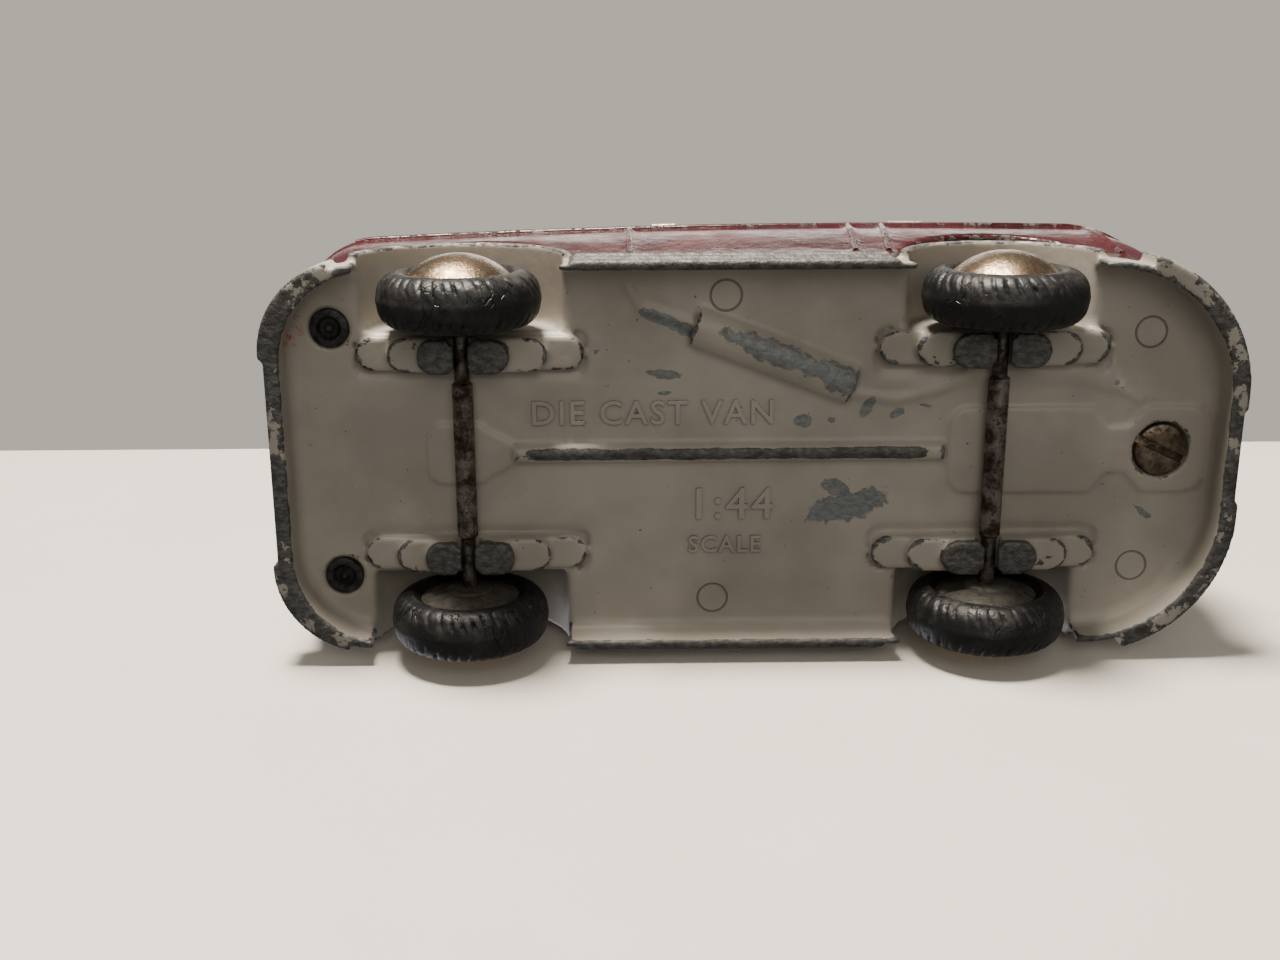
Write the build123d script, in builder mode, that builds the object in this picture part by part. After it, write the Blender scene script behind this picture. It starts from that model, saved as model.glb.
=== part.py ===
from build123d import *
import os

# A die-cast zinc toy delivery van, about 1:44, free-rolling, in millimetres.
# +X is forward, +Y the van's left side, +Z up. It stands on its tyres at z = 0.
os.makedirs("parts", exist_ok=True)

# Running gear
front_axle_x = 24.4
rear_axle_x = -29.2
tyre_radius = 8.1
tyre_middle = 16.5          # from the axle's middle to the middle of a tyre
tyre_width = 5.4
axle_shift = 0.35           # the loose axles rest slid over to the left
axle_level = tyre_radius
axle_radius = 1.05
journal_radius = 0.75
shoulder_play = 0.6         # between an axle's shoulder and the spring beside it
hub_radius = 4.2
flange_radius = 5.1
hub_inner_face = 13.4
hub_outer_face = 18.4
cap_radius = 5.2
cap_height = 2.5
cap_wall = 0.35
cap_lip_radius = 3.4
flange_inner_face = 13.9
flange_outer_face = 14.4
bead_face = hub_outer_face  # the plane that a hub cap presses against
peened_head_radius = 1.4
peened_head_height = 0.7

sides = (("left", 1), ("right", -1))

# Base casting, a shallow tray that opens downwards
rim_level = 5.6
floor_level = 9.6
band_top = 10.0
base_top = 10.9
band_front = 48.4
band_rear = -48.3
band_half_width = 19.6
sill_half_width = 20.0
sill_front = 13.4
sill_rear = -18.2
front_radius = 14.0
rear_radius = 9.0
rim_width = 1.4
sill_rim_width = 1.0
bumper_stand_out = 0.4
front_bumper_end = 38.2
front_bumper_half_width = 20.8
rear_bumper_end = -41.6
rear_bumper_half_width = 20.1
front_gap_half_width = 4.8  # the plain stretch of rim between the bumper's two halves
rear_gap_half_width = 10.5

# Wheel boxes
front_arch_radius = 9.4
rear_arch_radius = 10.2
arch_flare = 2.6            # radius where an arch runs out into the rim
arch_wall = 0.9
well_inner_face = 12.6
arch_lip_face = 20.4

# Leaf springs, cast as stacks of round-ended steps with a slot for the axle
spring_width = 3.5
front_spring_offset = 10.75
rear_spring_offset = 10.45
valley_level = 10.0
front_spring_steps = ((8.9, 12.4, 35.7), (7.9, 16.0, 32.6), (6.7, 19.4, 29.15))
rear_spring_steps = ((8.9, -39.9, -17.05), (7.9, -36.6, -20.7), (6.7, -33.5, -24.4))
slot_half_width = 1.15
slot_top = axle_level + journal_radius + 0.1
lip_height = 0.4
lip_width = 0.5

# Relief on the floor
sump_level = 9.25
sump_front, sump_rear = 46.2, 20.1
sump_half_width = 4.45
gearbox_level = 9.25
shaft_radius = 1.1
shaft_level = 9.8
shaft_rear, shaft_front = -24.3, 19.5
silencer_radius = 2.4
silencer_level = 10.6
silencer_rear_end = (-6.1, -13.0)
silencer_front_end = (10.0, -6.8)
pipe_radius = 0.8
pipe_level = 10.1
tail_pipe = ((-6.0, -13.1), (-11.4, -14.9), (-12.7, -17.2))
front_pipe = ((10.0, -6.0), (14.5, -5.3), (18.4, -6.3), (21.6, -7.7), (33.0, -7.7), (36.2, -6.8),
              (39.4, -5.2))

# Fasteners
screw_x = 41.8
screw_head_radius = 2.7
screw_head_height = 1.1
screw_radius = 1.5
screw_length = 9.0
screw_clearance = 0.1
slot_turn = 25
rivet_x, rivet_y = -42.4, 13.0
rivet_head_radius = 2.0
rivet_radius = 1.2
rivet_length = 6.0
post_radius = 2.3

# Body shell
wall = 1.2
body_top = 45.5
# level, front x, rear x, half width, nose corner radius, tail corner radius
body_sections = (
    (band_top, 47.2, -47.2, 20.0, 13.0, 8.0),
    (16.0, 47.8, -47.6, 20.7, 13.2, 8.0),
    (24.5, 47.4, -47.7, 21.25, 13.4, 8.0),
    (31.0, 45.4, -47.3, 20.8, 13.2, 7.8),
    (38.0, 42.2, -46.4, 19.5, 12.4, 7.4),
    (42.0, 39.0, -45.0, 17.6, 11.4, 7.0),
    (44.4, 34.0, -41.5, 14.2, 9.6, 6.0),
    (body_top, 25.0, -34.0, 8.4, 6.0, 4.5),
)
widest_x = 12.0             # the sides bow out to here
side_bow = 0.00046          # how fast they fall away from it, per millimetre squared
window_sill, window_head = 27.0, 37.4
belt_level = 24.2
gutter_level = 40.2
moulding_width = 0.5
door_edges = ((-12.6, 0.0), (9.9, 1.1), (13.2, 1.4), (36.6, 0.0))  # x at the sill, lean forward by the belt
lamp_offset = 12.4
lamp_level = 18.5
lamp_radius = 2.5
bezel_radius = 3.3


def van_plan(level, front, rear, half_width, nose_radius, tail_radius, bow=0.0):
    """A level outline of the van, rounder at the nose than at the tail, its sides straight or bowed."""
    nose_half = half_width - bow * (front - widest_x) ** 2
    tail_half = half_width - bow * (rear - widest_x) ** 2
    with BuildSketch(Plane.XY.offset(level)) as plan:
        with BuildLine():
            Line((front, -nose_half), (front, nose_half))
            Line((rear, tail_half), (rear, -tail_half))
            for side in (1, -1):
                nose_end = (front, side * nose_half)
                tail_end = (rear, side * tail_half)
                if bow:
                    ThreePointArc(nose_end, (widest_x, side * half_width), tail_end)
                else:
                    Line(nose_end, tail_end)
        make_face()
        corners = plan.vertices().group_by(Axis.X)
        fillet(corners[-1], radius=nose_radius)
        tail = plan.vertices().group_by(Axis.X)[0]
        fillet(tail, radius=tail_radius)
    return plan.sketch


def body_form(grow, lowest=band_top, highest=body_top):
    """The closed form of the body, grown or shrunk on every side."""
    stretch = (highest - lowest) / (body_top - band_top)
    outlines = [
        van_plan(lowest + (level - band_top) * stretch, front + grow, rear - grow,
                 half + grow, nose + grow, tail + grow, bow=side_bow)
        for level, front, rear, half, nose, tail in body_sections
    ]
    with BuildPart() as form:
        loft(outlines)
    return form.part


def block(rear, front, half_width, level, top, mode=Mode.ADD):
    """A level block between two x places, centred on the van, in the part that is open."""
    with Locations(((front + rear) / 2, 0, (level + top) / 2)):
        Box(front - rear, 2 * half_width, top - level, mode=mode)


def cross_drum(x, y_from, y_to, radius, mode=Mode.ADD):
    """A drum across the van at axle height, between two y places."""
    with Locations(Location((x, (y_from + y_to) / 2, axle_level), (90, 0, 0))):
        Cylinder(radius, abs(y_to - y_from), mode=mode)


# The bumpers: the casting's rim stands out at the ends, in two halves at each end
band_height = band_top - rim_level
with BuildPart() as front_bumper:
    extrude(van_plan(rim_level, band_front + bumper_stand_out, 0, front_bumper_half_width,
                     front_radius + 0.6, 1), amount=band_height)
    block(-10, front_bumper_end, 30, rim_level, band_top, mode=Mode.SUBTRACT)
    block(40, 60, front_gap_half_width, rim_level, band_top, mode=Mode.SUBTRACT)
with BuildPart() as rear_bumper:
    extrude(van_plan(rim_level, 0, band_rear - 0.5, rear_bumper_half_width, 1, rear_radius + 0.3),
            amount=band_height)
    block(rear_bumper_end, 10, 30, rim_level, band_top, mode=Mode.SUBTRACT)
    block(-60, -44, rear_gap_half_width, rim_level, band_top, mode=Mode.SUBTRACT)

arches = ((front_axle_x, front_arch_radius), (rear_axle_x, rear_arch_radius))
springs = ((front_axle_x, front_spring_offset, front_spring_steps),
           (rear_axle_x, rear_spring_offset, rear_spring_steps))
with BuildPart() as wheel_boxes:
    for axle_x, radius in arches:
        for side in (1, -1):
            cross_drum(axle_x, side * (well_inner_face - arch_wall), side * arch_lip_face,
                       radius + arch_wall)
    block(-60, 60, 30, -10, floor_level, mode=Mode.SUBTRACT)

arch_openings = []
for axle_x, radius in arches:
    with BuildSketch(Plane.XZ) as arch:
        with Locations((axle_x, axle_level)):
            Circle(radius)
        with Locations((axle_x, rim_level - 5)):
            Rectangle(4 * radius, 10)
        at_rim = arch.vertices().filter_by_position(Axis.Z, rim_level - 0.01, rim_level + 0.01)
        fillet([corner for corner in at_rim if abs(corner.X - axle_x) < radius], radius=arch_flare)
    arch_openings.append(arch.sketch)

with BuildPart() as base_plate:
    extrude(van_plan(rim_level, band_front, band_rear, band_half_width, front_radius, rear_radius),
            amount=band_height)
    add(front_bumper.part)
    add(rear_bumper.part)
    block(sill_rear, sill_front, sill_half_width, rim_level, band_top)
    spigot_gap = wall + 0.2
    extrude(van_plan(band_top, 47.2 - spigot_gap, -47.2 + spigot_gap, 20.0 - spigot_gap, 11.5, 6.5,
                     bow=side_bow), amount=base_top - band_top)
    # the tray inside the rim
    extrude(van_plan(rim_level, band_front - rim_width, band_rear + rim_width + 0.2,
                     sill_half_width - sill_rim_width, 13.0, 9.0),
            amount=floor_level - rim_level, mode=Mode.SUBTRACT)
    floor_corners = base_plate.edges().filter_by(Plane.XY).filter_by_position(
        Axis.Z, floor_level - 0.01, floor_level + 0.01)
    fillet(floor_corners, radius=1.2)
    # a shallow valley in the floor beside each pair of springs
    for axle_x, spring_offset, steps in springs:
        level, start, end = steps[0]
        with BuildSketch(Plane.XY.offset(valley_level)):
            for side in (1, -1):
                with Locations(((start + end) / 2, side * 10.4)):
                    RectangleRounded(end - start + 1.0, 5.2, 1.6)
        extrude(amount=floor_level - valley_level, mode=Mode.SUBTRACT)
    add(wheel_boxes.part)
    for opening in arch_openings:
        for side in (1, -1):
            extrude(opening.moved(Location((0, side * 30, 0))), amount=side * (30 - well_inner_face),
                    mode=Mode.SUBTRACT)
    # springs
    for axle_x, spring_offset, steps in springs:
        for level, start, end in steps:
            with BuildSketch(Plane.XY.offset(level)):
                for side in (1, -1):
                    with Locations(((start + end) / 2, side * spring_offset)):
                        SlotOverall(end - start, spring_width)
            extrude(amount=valley_level - level + 0.2)
        # the slot that the axle turns in, with crimped lips at its mouth
        block(axle_x - slot_half_width, axle_x + slot_half_width, 12.6, 6.0, slot_top, mode=Mode.SUBTRACT)
        spring_underside = steps[-1][0]
        lip_middle = slot_half_width - lip_width / 2 + 0.1
        with Locations([(axle_x + edge * lip_middle, side * spring_offset, spring_underside + lip_height / 2)
                        for edge in (1, -1) for side in (1, -1)]):
            Box(lip_width + 0.2, spring_width * 0.7, lip_height)
    # engine sump, with a nick in each side where it meets the screw boss
    with BuildSketch(Plane.XY.offset(sump_level)):
        with Locations(((sump_front + sump_rear) / 2, 0)):
            RectangleRounded(sump_front - sump_rear, 2 * sump_half_width, 1.8)
        for side in (1, -1):
            with BuildLine():
                Polyline((34.6, side * 4.6), (36.2, side * 2.4), (38.2, side * 2.4), (40.1, side * 4.6),
                         close=True)
            make_face(mode=Mode.SUBTRACT)
    extrude(amount=floor_level - sump_level)
    # rear differential and the propeller shaft
    with BuildSketch(Plane.XY.offset(gearbox_level)):
        with Locations((-29.9, 0)):
            RectangleRounded(6.4, 6.2, 1.5)
        with BuildLine():
            Polyline((-27.6, 2.8), (-24.0, 0.9), (-24.0, -0.9), (-27.6, -2.8), close=True)
        make_face()
    extrude(amount=floor_level - gearbox_level)
    with Locations(Location(((shaft_front + shaft_rear) / 2, 0, shaft_level), (0, 90, 0))):
        Cylinder(shaft_radius, shaft_front - shaft_rear)
    # silencer and pipes
    rear_x, rear_y = silencer_rear_end
    front_x, front_y = silencer_front_end
    silencer_axis = Vector(front_x - rear_x, front_y - rear_y, 0)
    with BuildSketch(Plane(origin=(rear_x, rear_y, silencer_level), z_dir=silencer_axis)):
        Circle(silencer_radius)
    extrude(amount=silencer_axis.length)
    for route in (tail_pipe, front_pipe):
        for start, end in zip(route, route[1:]):
            run = Vector(end[0] - start[0], end[1] - start[1], 0)
            with BuildSketch(Plane(origin=(start[0], start[1], pipe_level), z_dir=run)):
                Circle(pipe_radius)
            extrude(amount=run.length)
        with Locations([(x, y, pipe_level) for x, y in route]):
            Sphere(pipe_radius)
    # the silencer is half sunk in the floor, so what of it stands above the floor's top goes
    block(-12, 14, 16.5, base_top, 14, mode=Mode.SUBTRACT)
    # screw seat and hole, rivet seats and holes
    with Locations(Location((screw_x, 0, sump_level), (180, 0, 0))):
        CounterBoreHole(screw_radius + screw_clearance, screw_head_radius + 0.2, 1.0)
    with Locations([Location((rivet_x, side * rivet_y, floor_level), (180, 0, 0)) for side in (1, -1)]):
        CounterBoreHole(rivet_radius, rivet_head_radius + 0.15, 0.5)
base_plate.part.label = "base_plate"
export_step(base_plate.part, "parts/base_plate.step")

# Body shell: a hollow loft that sits on the band and takes the screw and the rivets
outer_form = body_form(0)
cavity_form = body_form(-wall, highest=body_top - wall)
raised_form = body_form(0.3)


def side_window(rear, front, rake):
    """A cab window through both sides, its front edge leaning back with the windscreen."""
    with BuildSketch(Plane.XZ.offset(-30)) as opening:
        with BuildLine():
            Polyline((rear, window_sill), (front, window_sill), (front - rake, window_head),
                     (rear, window_head), close=True)
        make_face()
        fillet(opening.vertices(), radius=1.2)
    return opening.sketch


def end_window(x, half_sill, half_head, low, high, radius):
    """A window in the nose or the tail, as a level-sided outline on a plane across the van."""
    with BuildSketch(Plane.YZ.offset(x)) as opening:
        with BuildLine():
            Polyline((-half_sill, low), (half_sill, low), (half_head, high), (-half_head, high), close=True)
        make_face()
        fillet(opening.vertices(), radius=radius)
    return opening.sketch


# Mouldings and door edges: thin bands of a slightly larger form
with BuildPart() as bands:
    block(-60, 60, 30, belt_level, belt_level + moulding_width)
    block(-60, 60, 30, gutter_level, gutter_level + moulding_width)
    for x, lean in door_edges:
        with BuildSketch(Plane.XZ.offset(-30)):
            with BuildLine():
                Polyline((x, band_top + 1), (x + moulding_width, band_top + 1),
                         (x + moulding_width + lean, belt_level + 0.1), (x + lean, belt_level + 0.1),
                         close=True)
            make_face()
        extrude(amount=60)
with BuildPart() as mouldings:
    add(raised_form)
    add(bands.part, mode=Mode.INTERSECT)

with BuildPart() as body_shell:
    add(outer_form)
    add(mouldings.part)
    with Locations([Location((44.5, side * lamp_offset, lamp_level), (0, 90, 0)) for side in (1, -1)]):
        Cylinder(bezel_radius, 4.6)
    add(cavity_form, mode=Mode.SUBTRACT)
    for axle_x, radius in arches:
        for side in (1, -1):
            cross_drum(axle_x, side * 5, side * 30, radius + arch_wall + 0.05, mode=Mode.SUBTRACT)
    # windows
    extrude(side_window(17.0, 34.5, 3.0), amount=60, mode=Mode.SUBTRACT)
    extrude(end_window(30, 15.2, 13.2, window_sill, window_head, 1.8), amount=30, mode=Mode.SUBTRACT)
    extrude(end_window(-60, 8.5, 8.0, 29.0, 37.0, 1.5), amount=30, mode=Mode.SUBTRACT)
    # lamp seats
    with Locations([Location((46.6, side * lamp_offset, lamp_level), (0, 90, 0)) for side in (1, -1)]):
        Hole(lamp_radius, depth=1.6)
    # pillar for the base screw and posts for the rivets, each webbed to the nearest wall
    with Locations((screw_x, 0, base_top + 4.5)):
        Cylinder(3.4, 9.0)
    block(screw_x, 46.6, 1.5, base_top, base_top + 9.0)
    for side in (1, -1):
        with Locations((rivet_x, side * rivet_y, base_top + 4.0)):
            Cylinder(post_radius, 8.0)
        with Locations(((rivet_x - 46.8) / 2, side * rivet_y, base_top + 4.0)):
            Box(46.8 + rivet_x, 1.6, 8.0)
    with Locations((screw_x, 0, base_top)):
        Cylinder(screw_radius, 2 * (screw_length - 1.0), mode=Mode.SUBTRACT)
    with Locations([(rivet_x, side * rivet_y, base_top) for side in (1, -1)]):
        Cylinder(rivet_radius, 2 * (rivet_length - 0.5), mode=Mode.SUBTRACT)
body_shell.part.label = "body_shell"
export_step(body_shell.part, "parts/body_shell.step")

# Clear mouldings behind the windows: thin skins that follow the inside of the shell
glazing_outside = body_form(-wall - 0.05, highest=body_top - wall - 0.05)
glazing_inside = body_form(-wall - 0.75, highest=body_top - wall - 0.75)
with BuildPart() as cab_glazing:
    add(glazing_outside)
    add(glazing_inside, mode=Mode.SUBTRACT)
    block(-60, 15.0, 30, 0, 60, mode=Mode.SUBTRACT)
    block(10, 60, 30, 0, window_sill - 1.2, mode=Mode.SUBTRACT)
    block(10, 60, 30, window_head + 1.2, 60, mode=Mode.SUBTRACT)
cab_glazing.part.label = "cab_glazing"
export_step(cab_glazing.part, "parts/cab_glazing.step")

with BuildPart() as rear_glazing:
    add(glazing_outside)
    add(glazing_inside, mode=Mode.SUBTRACT)
    block(-40.0, 60, 30, 0, 60, mode=Mode.SUBTRACT)
    block(-60, 0, 30, 0, 28.0, mode=Mode.SUBTRACT)
    block(-60, 0, 30, 38.0, 60, mode=Mode.SUBTRACT)
    for side in (1, -1):
        with Locations((-45, side * 20, 33)):
            Box(20, 20, 20, mode=Mode.SUBTRACT)
rear_glazing.part.label = "rear_glazing"
export_step(rear_glazing.part, "parts/rear_glazing.step")

# Headlamp jewels, one in each bezel
for name, side in sides:
    with BuildPart() as headlamp:
        with Locations(Location((45.8, side * lamp_offset, lamp_level), (0, 90, 0))):
            Cylinder(lamp_radius, 1.6)
        front_face = headlamp.faces().sort_by(Axis.X)[-1]
        fillet(front_face.edges(), radius=0.7)
    headlamp.part.label = f"headlamp_{name}"
    export_step(headlamp.part, f"parts/headlamp_{name}.step")

# Base screw: slotted, countersunk flat into the engine sump
screw_underside = sump_level
with BuildPart() as base_screw:
    with Locations((screw_x, 0, screw_underside + screw_head_height / 2 - 0.1)):
        Cylinder(screw_head_radius, screw_head_height)
    head_rim = base_screw.edges().sort_by(Axis.Z)[0]
    fillet(head_rim, radius=0.3)
    with Locations((screw_x, 0, screw_underside + 1.0 + (screw_length - 1.2) / 2)):
        Cylinder(screw_radius, screw_length - 1.2)
    with Locations(Location((screw_x, 0, screw_underside + 0.1), (0, 0, slot_turn))):
        Box(2 * screw_head_radius + 1, 0.9, 0.9, mode=Mode.SUBTRACT)
base_screw.part.label = "base_screw"
export_step(base_screw.part, "parts/base_screw.step")

# Rivets that hold the tail of the base to the shell
for name, side in sides:
    with BuildPart() as rivet:
        with Locations((rivet_x, side * rivet_y, floor_level + 0.2)):
            Cylinder(rivet_head_radius, 0.6)
        with Locations((rivet_x, side * rivet_y, floor_level + 0.4 + rivet_length / 2)):
            Cylinder(rivet_radius, rivet_length)
        with Locations((rivet_x, side * rivet_y, floor_level - 0.1)):
            Cylinder(1.1, 0.3, mode=Mode.SUBTRACT)
            Cylinder(0.45, 0.3)
    rivet.part.label = f"rear_rivet_{name}"
    export_step(rivet.part, f"parts/rear_rivet_{name}.step")


def arc_foot(radius, centre, level):
    """How far from the axle a ball's surface is at a level; the ball's centre lies on the axle."""
    return (radius**2 - (level - centre)**2) ** 0.5


def dome_arc(radius, centre, rim, side):
    """The arc of a dome from its apex on the axle down to its rim."""
    halfway = centre + radius * 0.9
    ThreePointArc((0, side * (centre + radius)), (arc_foot(radius, centre, halfway), side * halfway),
                  (arc_foot(radius, centre, rim), side * rim))


# Wheels and axles. Profiles are drawn as distance from the axle against distance across the van.
for end, axle_x, spring_offset in (("front", front_axle_x, front_spring_offset),
                                   ("rear", rear_axle_x, rear_spring_offset)):
    axle_plane = Plane(origin=(axle_x, axle_shift, axle_level))
    turning_line = Axis((axle_x, 0, axle_level), (0, 1, 0))
    shoulder = spring_offset - spring_width / 2 - shoulder_play
    with BuildPart() as axle:
        cross_drum(axle_x, axle_shift - shoulder, axle_shift + shoulder, axle_radius)
        shoulders = axle.edges().filter_by(GeomType.CIRCLE)
        chamfer(shoulders, length=0.2)
        cross_drum(axle_x, axle_shift - hub_outer_face, axle_shift + hub_outer_face, journal_radius)
        for side in (1, -1):
            head_end = hub_outer_face + peened_head_height
            cross_drum(axle_x, axle_shift + side * hub_outer_face, axle_shift + side * head_end,
                       peened_head_radius)
        fillet(axle.edges().group_by(Axis.Y)[-1] + axle.edges().group_by(Axis.Y)[0], radius=0.4)
    axle.part.label = f"{end}_axle"
    export_step(axle.part, f"parts/{end}_axle.step")

    for name, side in sides:
        with BuildPart() as hub:
            with BuildSketch(axle_plane):
                with BuildLine():
                    Polyline(
                        (journal_radius, side * hub_outer_face), (hub_radius, side * hub_outer_face),
                        (hub_radius, side * flange_outer_face), (flange_radius, side * flange_outer_face),
                        (flange_radius, side * flange_inner_face))
                    ThreePointArc((flange_radius, side * flange_inner_face), (3.7, side * 13.68),
                                  (2.2, side * 13.55))
                    Polyline((2.2, side * 13.55), (2.2, side * hub_inner_face),
                             (journal_radius, side * hub_inner_face), (journal_radius, side * hub_outer_face))
                make_face()
            revolve(axis=turning_line)
        hub.part.label = f"{end}_hub_{name}"
        export_step(hub.part, f"parts/{end}_hub_{name}.step")

        with BuildPart() as tyre:
            inner_side = tyre_middle - tyre_width / 2
            outer_side = tyre_middle + tyre_width / 2
            with BuildSketch(axle_plane):
                with BuildLine():
                    Polyline((5.9, side * inner_side),
                             (flange_radius + 0.05, side * (flange_inner_face + 0.1)),
                             (flange_radius + 0.05, side * flange_outer_face),
                             (hub_radius, side * flange_outer_face), (hub_radius, side * bead_face),
                             (cap_radius + 0.15, side * bead_face), (6.2, side * outer_side))
                    ThreePointArc((6.2, side * outer_side), (7.45, side * (outer_side - 0.55)),
                                  (7.95, side * (tyre_middle + 1.4)))
                    ThreePointArc((7.95, side * (tyre_middle + 1.4)), (tyre_radius, side * tyre_middle),
                                  (7.95, side * (tyre_middle - 1.4)))
                    ThreePointArc((7.95, side * (tyre_middle - 1.4)), (7.4, side * (inner_side + 0.6)),
                                  (5.9, side * inner_side))
                make_face()
            revolve(axis=turning_line)
        tyre.part.label = f"{end}_tyre_{name}"
        export_step(tyre.part, f"parts/{end}_tyre_{name}.step")

        with BuildPart() as cap:
            rim = bead_face + 0.3
            rise = bead_face + cap_height - rim
            dome_radius = (cap_radius**2 + rise**2) / (2 * rise)
            dome_centre = rim + rise - dome_radius
            with BuildSketch(axle_plane):
                with BuildLine():
                    apex = dome_centre + dome_radius
                    Line((0, side * (apex - cap_wall)), (0, side * apex))
                    dome_arc(dome_radius, dome_centre, rim, side)
                    Polyline((cap_radius, side * rim), (cap_radius, side * bead_face),
                             (cap_lip_radius, side * bead_face), (cap_lip_radius, side * rim),
                             (arc_foot(dome_radius - cap_wall, dome_centre, rim), side * rim))
                    dome_arc(dome_radius - cap_wall, dome_centre, rim, side)
                make_face()
            revolve(axis=turning_line)
        cap.part.label = f"{end}_hub_cap_{name}"
        export_step(cap.part, f"parts/{end}_hub_cap_{name}.step")
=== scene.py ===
import bpy
import bmesh
import math
import numpy as np
from mathutils import Matrix, Vector, noise
from mathutils.bvhtree import BVHTree


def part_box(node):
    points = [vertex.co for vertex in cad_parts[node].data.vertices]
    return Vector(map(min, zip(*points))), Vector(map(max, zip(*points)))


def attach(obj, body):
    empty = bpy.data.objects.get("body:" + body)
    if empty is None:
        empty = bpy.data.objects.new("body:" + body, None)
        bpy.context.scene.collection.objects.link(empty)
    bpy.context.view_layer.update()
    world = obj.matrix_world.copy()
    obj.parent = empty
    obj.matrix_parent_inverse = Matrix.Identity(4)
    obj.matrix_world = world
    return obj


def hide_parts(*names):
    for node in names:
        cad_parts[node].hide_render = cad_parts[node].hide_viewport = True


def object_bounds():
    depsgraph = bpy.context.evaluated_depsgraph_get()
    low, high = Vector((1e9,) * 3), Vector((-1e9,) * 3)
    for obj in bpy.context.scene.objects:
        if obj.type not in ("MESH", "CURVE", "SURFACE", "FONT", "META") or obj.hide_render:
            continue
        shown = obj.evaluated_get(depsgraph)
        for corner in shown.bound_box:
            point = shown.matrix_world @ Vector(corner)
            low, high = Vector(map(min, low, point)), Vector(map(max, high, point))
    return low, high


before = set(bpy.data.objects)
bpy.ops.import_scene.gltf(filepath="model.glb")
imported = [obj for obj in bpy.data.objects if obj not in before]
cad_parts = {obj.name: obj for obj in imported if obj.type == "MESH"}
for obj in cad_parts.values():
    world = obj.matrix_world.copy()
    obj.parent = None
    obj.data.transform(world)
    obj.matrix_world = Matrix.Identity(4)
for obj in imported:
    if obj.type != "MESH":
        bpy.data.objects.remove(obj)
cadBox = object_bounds()
mm = 0.001
print("frame loaded")


# small helpers

def srgb(code):
    # a hex colour as it is seen, turned to the linear values that the shader works in
    parts = [int(code[i:i + 2], 16) / 255 for i in (1, 3, 5)]
    return tuple(p / 12.92 if p <= 0.04045 else ((p + 0.055) / 1.055) ** 2.4 for p in parts) + (1.0,)


def addNode(tree, kind, settings=None, **sockets):
    # one shader node; a socket is given by name, as a value or as another node's output
    node = tree.nodes.new("ShaderNode" + kind)
    for name, value in (settings or {}).items():
        setattr(node, name, value)
    for name, value in sockets.items():
        key = int(name[1:]) if name[0] == "_" else name.replace("_", " ")
        if isinstance(value, bpy.types.NodeSocket):
            tree.links.new(value, node.inputs[key])
        else:
            node.inputs[key].default_value = value
    return node


def newMaterial(name):
    material = bpy.data.materials.new(name)
    material.use_nodes = True
    tree = material.node_tree
    tree.nodes.clear()
    shader = tree.nodes.new("ShaderNodeBsdfPrincipled")
    output = tree.nodes.new("ShaderNodeOutputMaterial")
    tree.links.new(shader.outputs[0], output.inputs[0])
    return material, tree, shader


def objectPoint(tree):
    return tree.nodes.new("ShaderNodeTexCoord").outputs["Object"]


def noiseAt(tree, point, sizeMm, detail=3.0, roughness=0.55, distortion=0.0):
    # noise whose lumps are about sizeMm across
    return addNode(tree, "TexNoise", Vector=point, Scale=1 / (sizeMm * mm), Detail=detail,
                   Roughness=roughness, Distortion=distortion).outputs[0]


def ramp(tree, value, low, high, toLow=0.0, toHigh=1.0, smooth=True):
    settings = {"interpolation_type": "SMOOTHSTEP" if smooth else "LINEAR"}
    return addNode(tree, "MapRange", settings, Value=value, From_Min=low, From_Max=high,
                   To_Min=toLow, To_Max=toHigh).outputs["Result"]


def math2(tree, operation, a, b=0.0, c=0.0):
    return addNode(tree, "Math", {"operation": operation}, _0=a, _1=b, _2=c).outputs[0]


def mixColour(tree, factor, a, b, blend="MIX"):
    node = addNode(tree, "Mix", {"data_type": "RGBA", "blend_type": blend}, _0=factor, _6=a, _7=b)
    return node.outputs[2]


def mixValue(tree, factor, a, b):
    return addNode(tree, "Mix", {"data_type": "FLOAT"}, _0=factor, _2=a, _3=b).outputs[0]


def linkBump(tree, shader, height, depthMm, after=None):
    bump = addNode(tree, "Bump", Height=height, Distance=depthMm * mm, Strength=1.0)
    if after is not None:
        tree.links.new(after, bump.inputs["Normal"])
    tree.links.new(bump.outputs[0], shader.inputs["Normal"])
    return bump.outputs[0]


def newPiece(name, mesh, material, body, replaced=()):
    piece = bpy.data.objects.new(name, mesh)
    bpy.context.scene.collection.objects.link(piece)
    mesh.materials.clear()
    mesh.materials.append(material)
    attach(piece, body)
    if replaced:
        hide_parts(*replaced)
    return piece


def meshFrom(bm, name, recalculate=True):
    bmesh.ops.remove_doubles(bm, verts=bm.verts, dist=0.002 * mm)
    if recalculate:
        bmesh.ops.recalc_face_normals(bm, faces=bm.faces)
    mesh = bpy.data.meshes.new(name)
    bm.to_mesh(mesh)
    bm.free()
    return mesh


def applied(piece):
    # the piece with its modifiers made real
    graph = bpy.context.evaluated_depsgraph_get()
    graph.update()
    mesh = bpy.data.meshes.new_from_object(piece.evaluated_get(graph))
    old = piece.data
    piece.modifiers.clear()
    piece.data = mesh
    bpy.data.meshes.remove(old)
    return mesh


def scratchObject(mesh):
    thing = bpy.data.objects.new("scratch", mesh)
    bpy.context.scene.collection.objects.link(thing)
    return thing


def meshOf(curve, name):
    # the mesh of a curve or a text
    thing = scratchObject(curve)
    graph = bpy.context.evaluated_depsgraph_get()
    mesh = bpy.data.meshes.new_from_object(thing.evaluated_get(graph))
    bpy.data.objects.remove(thing)
    mesh.name = name
    return mesh


def shadeSmooth(mesh, angle=35):
    mesh.shade_smooth()
    mesh.set_sharp_from_angle(angle=math.radians(angle))


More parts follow.
